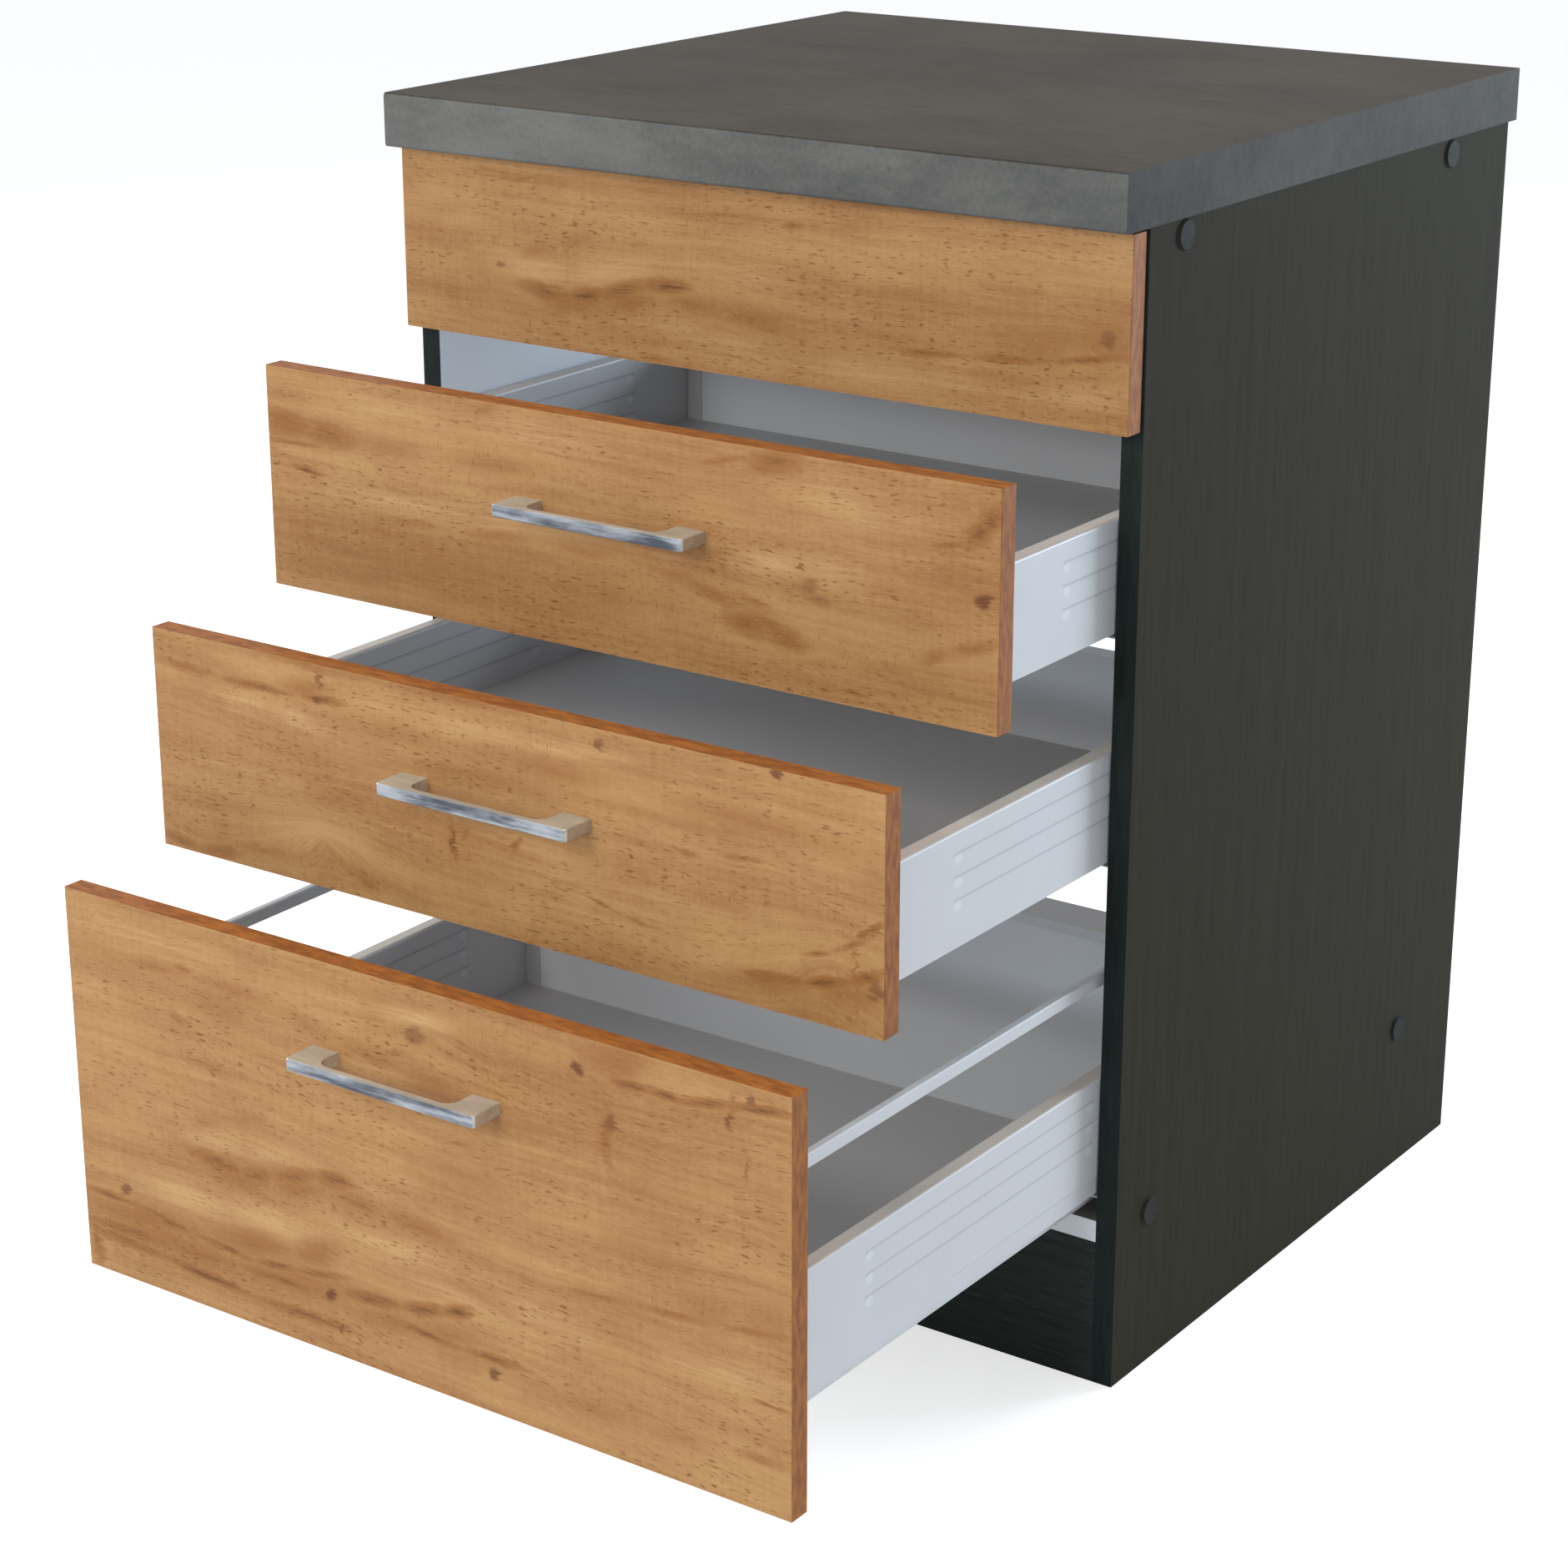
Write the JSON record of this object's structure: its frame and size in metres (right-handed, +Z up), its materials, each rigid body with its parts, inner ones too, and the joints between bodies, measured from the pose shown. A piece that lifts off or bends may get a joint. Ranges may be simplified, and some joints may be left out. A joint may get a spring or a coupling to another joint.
{
  "type": "base cabinet with drawers",
  "caption": "Kitchen base cabinet with a fixed fascia, shallow drawers and a deep pan drawer with gallery rails on roller runners under a laminate worktop.",
  "frame": {"origin": "on the floor, halfway across, in the plane of the carcass front edges", "axes": "+X to the right seen from the front, +Y to the back, +Z up"},
  "size_m": [0.604, 0.958, 0.85],
  "materials": {
    "oak_front": "wild oak laminate, matt, grain running across",
    "worktop_laminate": "dark concrete-look laminate, matt",
    "anthracite_board": "anthracite melamine with a fine upright grain, white on the side that faces into the cabinet",
    "white_board": "white melamine",
    "grey_board": "warm grey melamine",
    "white_steel": "white powder coat, satin",
    "rail_steel": "white powder coat, satin",
    "handle_metal": "satin nickel",
    "zinc_steel": "zinc plated",
    "nylon": "natural nylon",
    "cap_plastic": "anthracite, smooth",
    "clip_plastic": "light grey, smooth"
  },
  "bodies": {
    "cabinet": {"side_panel_left": "anthracite_board", "side_panel_right": "anthracite_board", "bottom_panel": "white_board", "plinth_board": "anthracite_board", "front_stretcher": "white_board", "rear_stretcher": "white_board", "worktop": "worktop_laminate", "fascia_panel": "oak_front", "fascia_brackets": "zinc_steel", "panel_screws": "zinc_steel", "cover_caps": "cap_plastic", "worktop_screws": "zinc_steel", "rail_screws": "zinc_steel", "front_roller_pins": "zinc_steel", "upper_rail_left": "rail_steel", "upper_rail_right": "rail_steel", "middle_rail_left": "rail_steel", "middle_rail_right": "rail_steel", "pan_rail_left": "rail_steel", "pan_rail_right": "rail_steel"},
    "upper_drawer": {"upper_drawer_front": "oak_front", "upper_drawer_side_left": "white_steel", "upper_drawer_side_right": "white_steel", "upper_drawer_floor": "grey_board", "upper_drawer_back": "white_board", "upper_drawer_handle": "handle_metal", "upper_drawer_handle_screws": "zinc_steel", "upper_drawer_front_brackets": "zinc_steel", "upper_drawer_back_brackets": "white_steel", "upper_drawer_roller_pins": "zinc_steel"},
    "upper_front_roller_pair": {"upper_front_rollers": "nylon"},
    "upper_rear_roller_pair": {"upper_rear_rollers": "nylon"},
    "middle_drawer": {"middle_drawer_front": "oak_front", "middle_drawer_side_left": "white_steel", "middle_drawer_side_right": "white_steel", "middle_drawer_floor": "grey_board", "middle_drawer_back": "white_board", "middle_drawer_handle": "handle_metal", "middle_drawer_handle_screws": "zinc_steel", "middle_drawer_front_brackets": "zinc_steel", "middle_drawer_back_brackets": "white_steel", "middle_drawer_roller_pins": "zinc_steel"},
    "middle_front_roller_pair": {"middle_front_rollers": "nylon"},
    "middle_rear_roller_pair": {"middle_rear_rollers": "nylon"},
    "pan_drawer": {"pan_drawer_front": "oak_front", "pan_drawer_side_left": "white_steel", "pan_drawer_side_right": "white_steel", "pan_drawer_floor": "grey_board", "pan_drawer_back": "white_board", "pan_drawer_handle": "handle_metal", "pan_drawer_handle_screws": "zinc_steel", "pan_drawer_front_brackets": "zinc_steel", "pan_drawer_back_brackets": "white_steel", "pan_drawer_roller_pins": "zinc_steel", "gallery_rail_left": "white_steel", "gallery_rail_right": "white_steel", "gallery_front_clips": "clip_plastic"},
    "pan_front_roller_pair": {"pan_front_rollers": "nylon"},
    "pan_rear_roller_pair": {"pan_rear_rollers": "nylon"}
  },
  "joints": [
    {"name": "upper_slide", "type": "slide", "parent": "cabinet", "child": "upper_drawer", "axis": [0, -1, 0], "range_m": [-0.1493, 0.2307]},
    {"name": "upper_front_roll", "type": "hinge", "parent": "cabinet", "child": "upper_front_roller_pair", "pos_m": [0, 0.022, 0.5517], "axis": [1, 0, 0], "continuous": true},
    {"name": "upper_rear_roll", "type": "hinge", "parent": "upper_drawer", "child": "upper_rear_roller_pair", "pos_m": [0, 0.2847, 0.5491], "axis": [1, 0, 0], "continuous": true},
    {"name": "middle_slide", "type": "slide", "parent": "cabinet", "child": "middle_drawer", "axis": [0, -1, 0], "range_m": [-0.272, 0.108]},
    {"name": "middle_front_roll", "type": "hinge", "parent": "cabinet", "child": "middle_front_roller_pair", "pos_m": [0, 0.022, 0.3932], "axis": [1, 0, 0], "continuous": true},
    {"name": "middle_rear_roll", "type": "hinge", "parent": "middle_drawer", "child": "middle_rear_roller_pair", "pos_m": [0, 0.162, 0.3906], "axis": [1, 0, 0], "continuous": true},
    {"name": "pan_slide", "type": "slide", "parent": "cabinet", "child": "pan_drawer", "axis": [0, -1, 0], "range_m": [-0.3675, 0.0125]},
    {"name": "pan_front_roll", "type": "hinge", "parent": "cabinet", "child": "pan_front_roller_pair", "pos_m": [0, 0.022, 0.1506], "axis": [1, 0, 0], "continuous": true},
    {"name": "pan_rear_roll", "type": "hinge", "parent": "pan_drawer", "child": "pan_rear_roller_pair", "pos_m": [0, 0.0665, 0.148], "axis": [1, 0, 0], "continuous": true}
  ],
  "couplings": [
    {"joint": "upper_front_roll", "follows": "upper_slide", "rad_per_m": 161.29},
    {"joint": "upper_rear_roll", "follows": "upper_slide", "rad_per_m": 161.29},
    {"joint": "middle_front_roll", "follows": "middle_slide", "rad_per_m": 161.29},
    {"joint": "middle_rear_roll", "follows": "middle_slide", "rad_per_m": 161.29},
    {"joint": "pan_front_roll", "follows": "pan_slide", "rad_per_m": 161.29},
    {"joint": "pan_rear_roll", "follows": "pan_slide", "rad_per_m": 161.29}
  ]
}
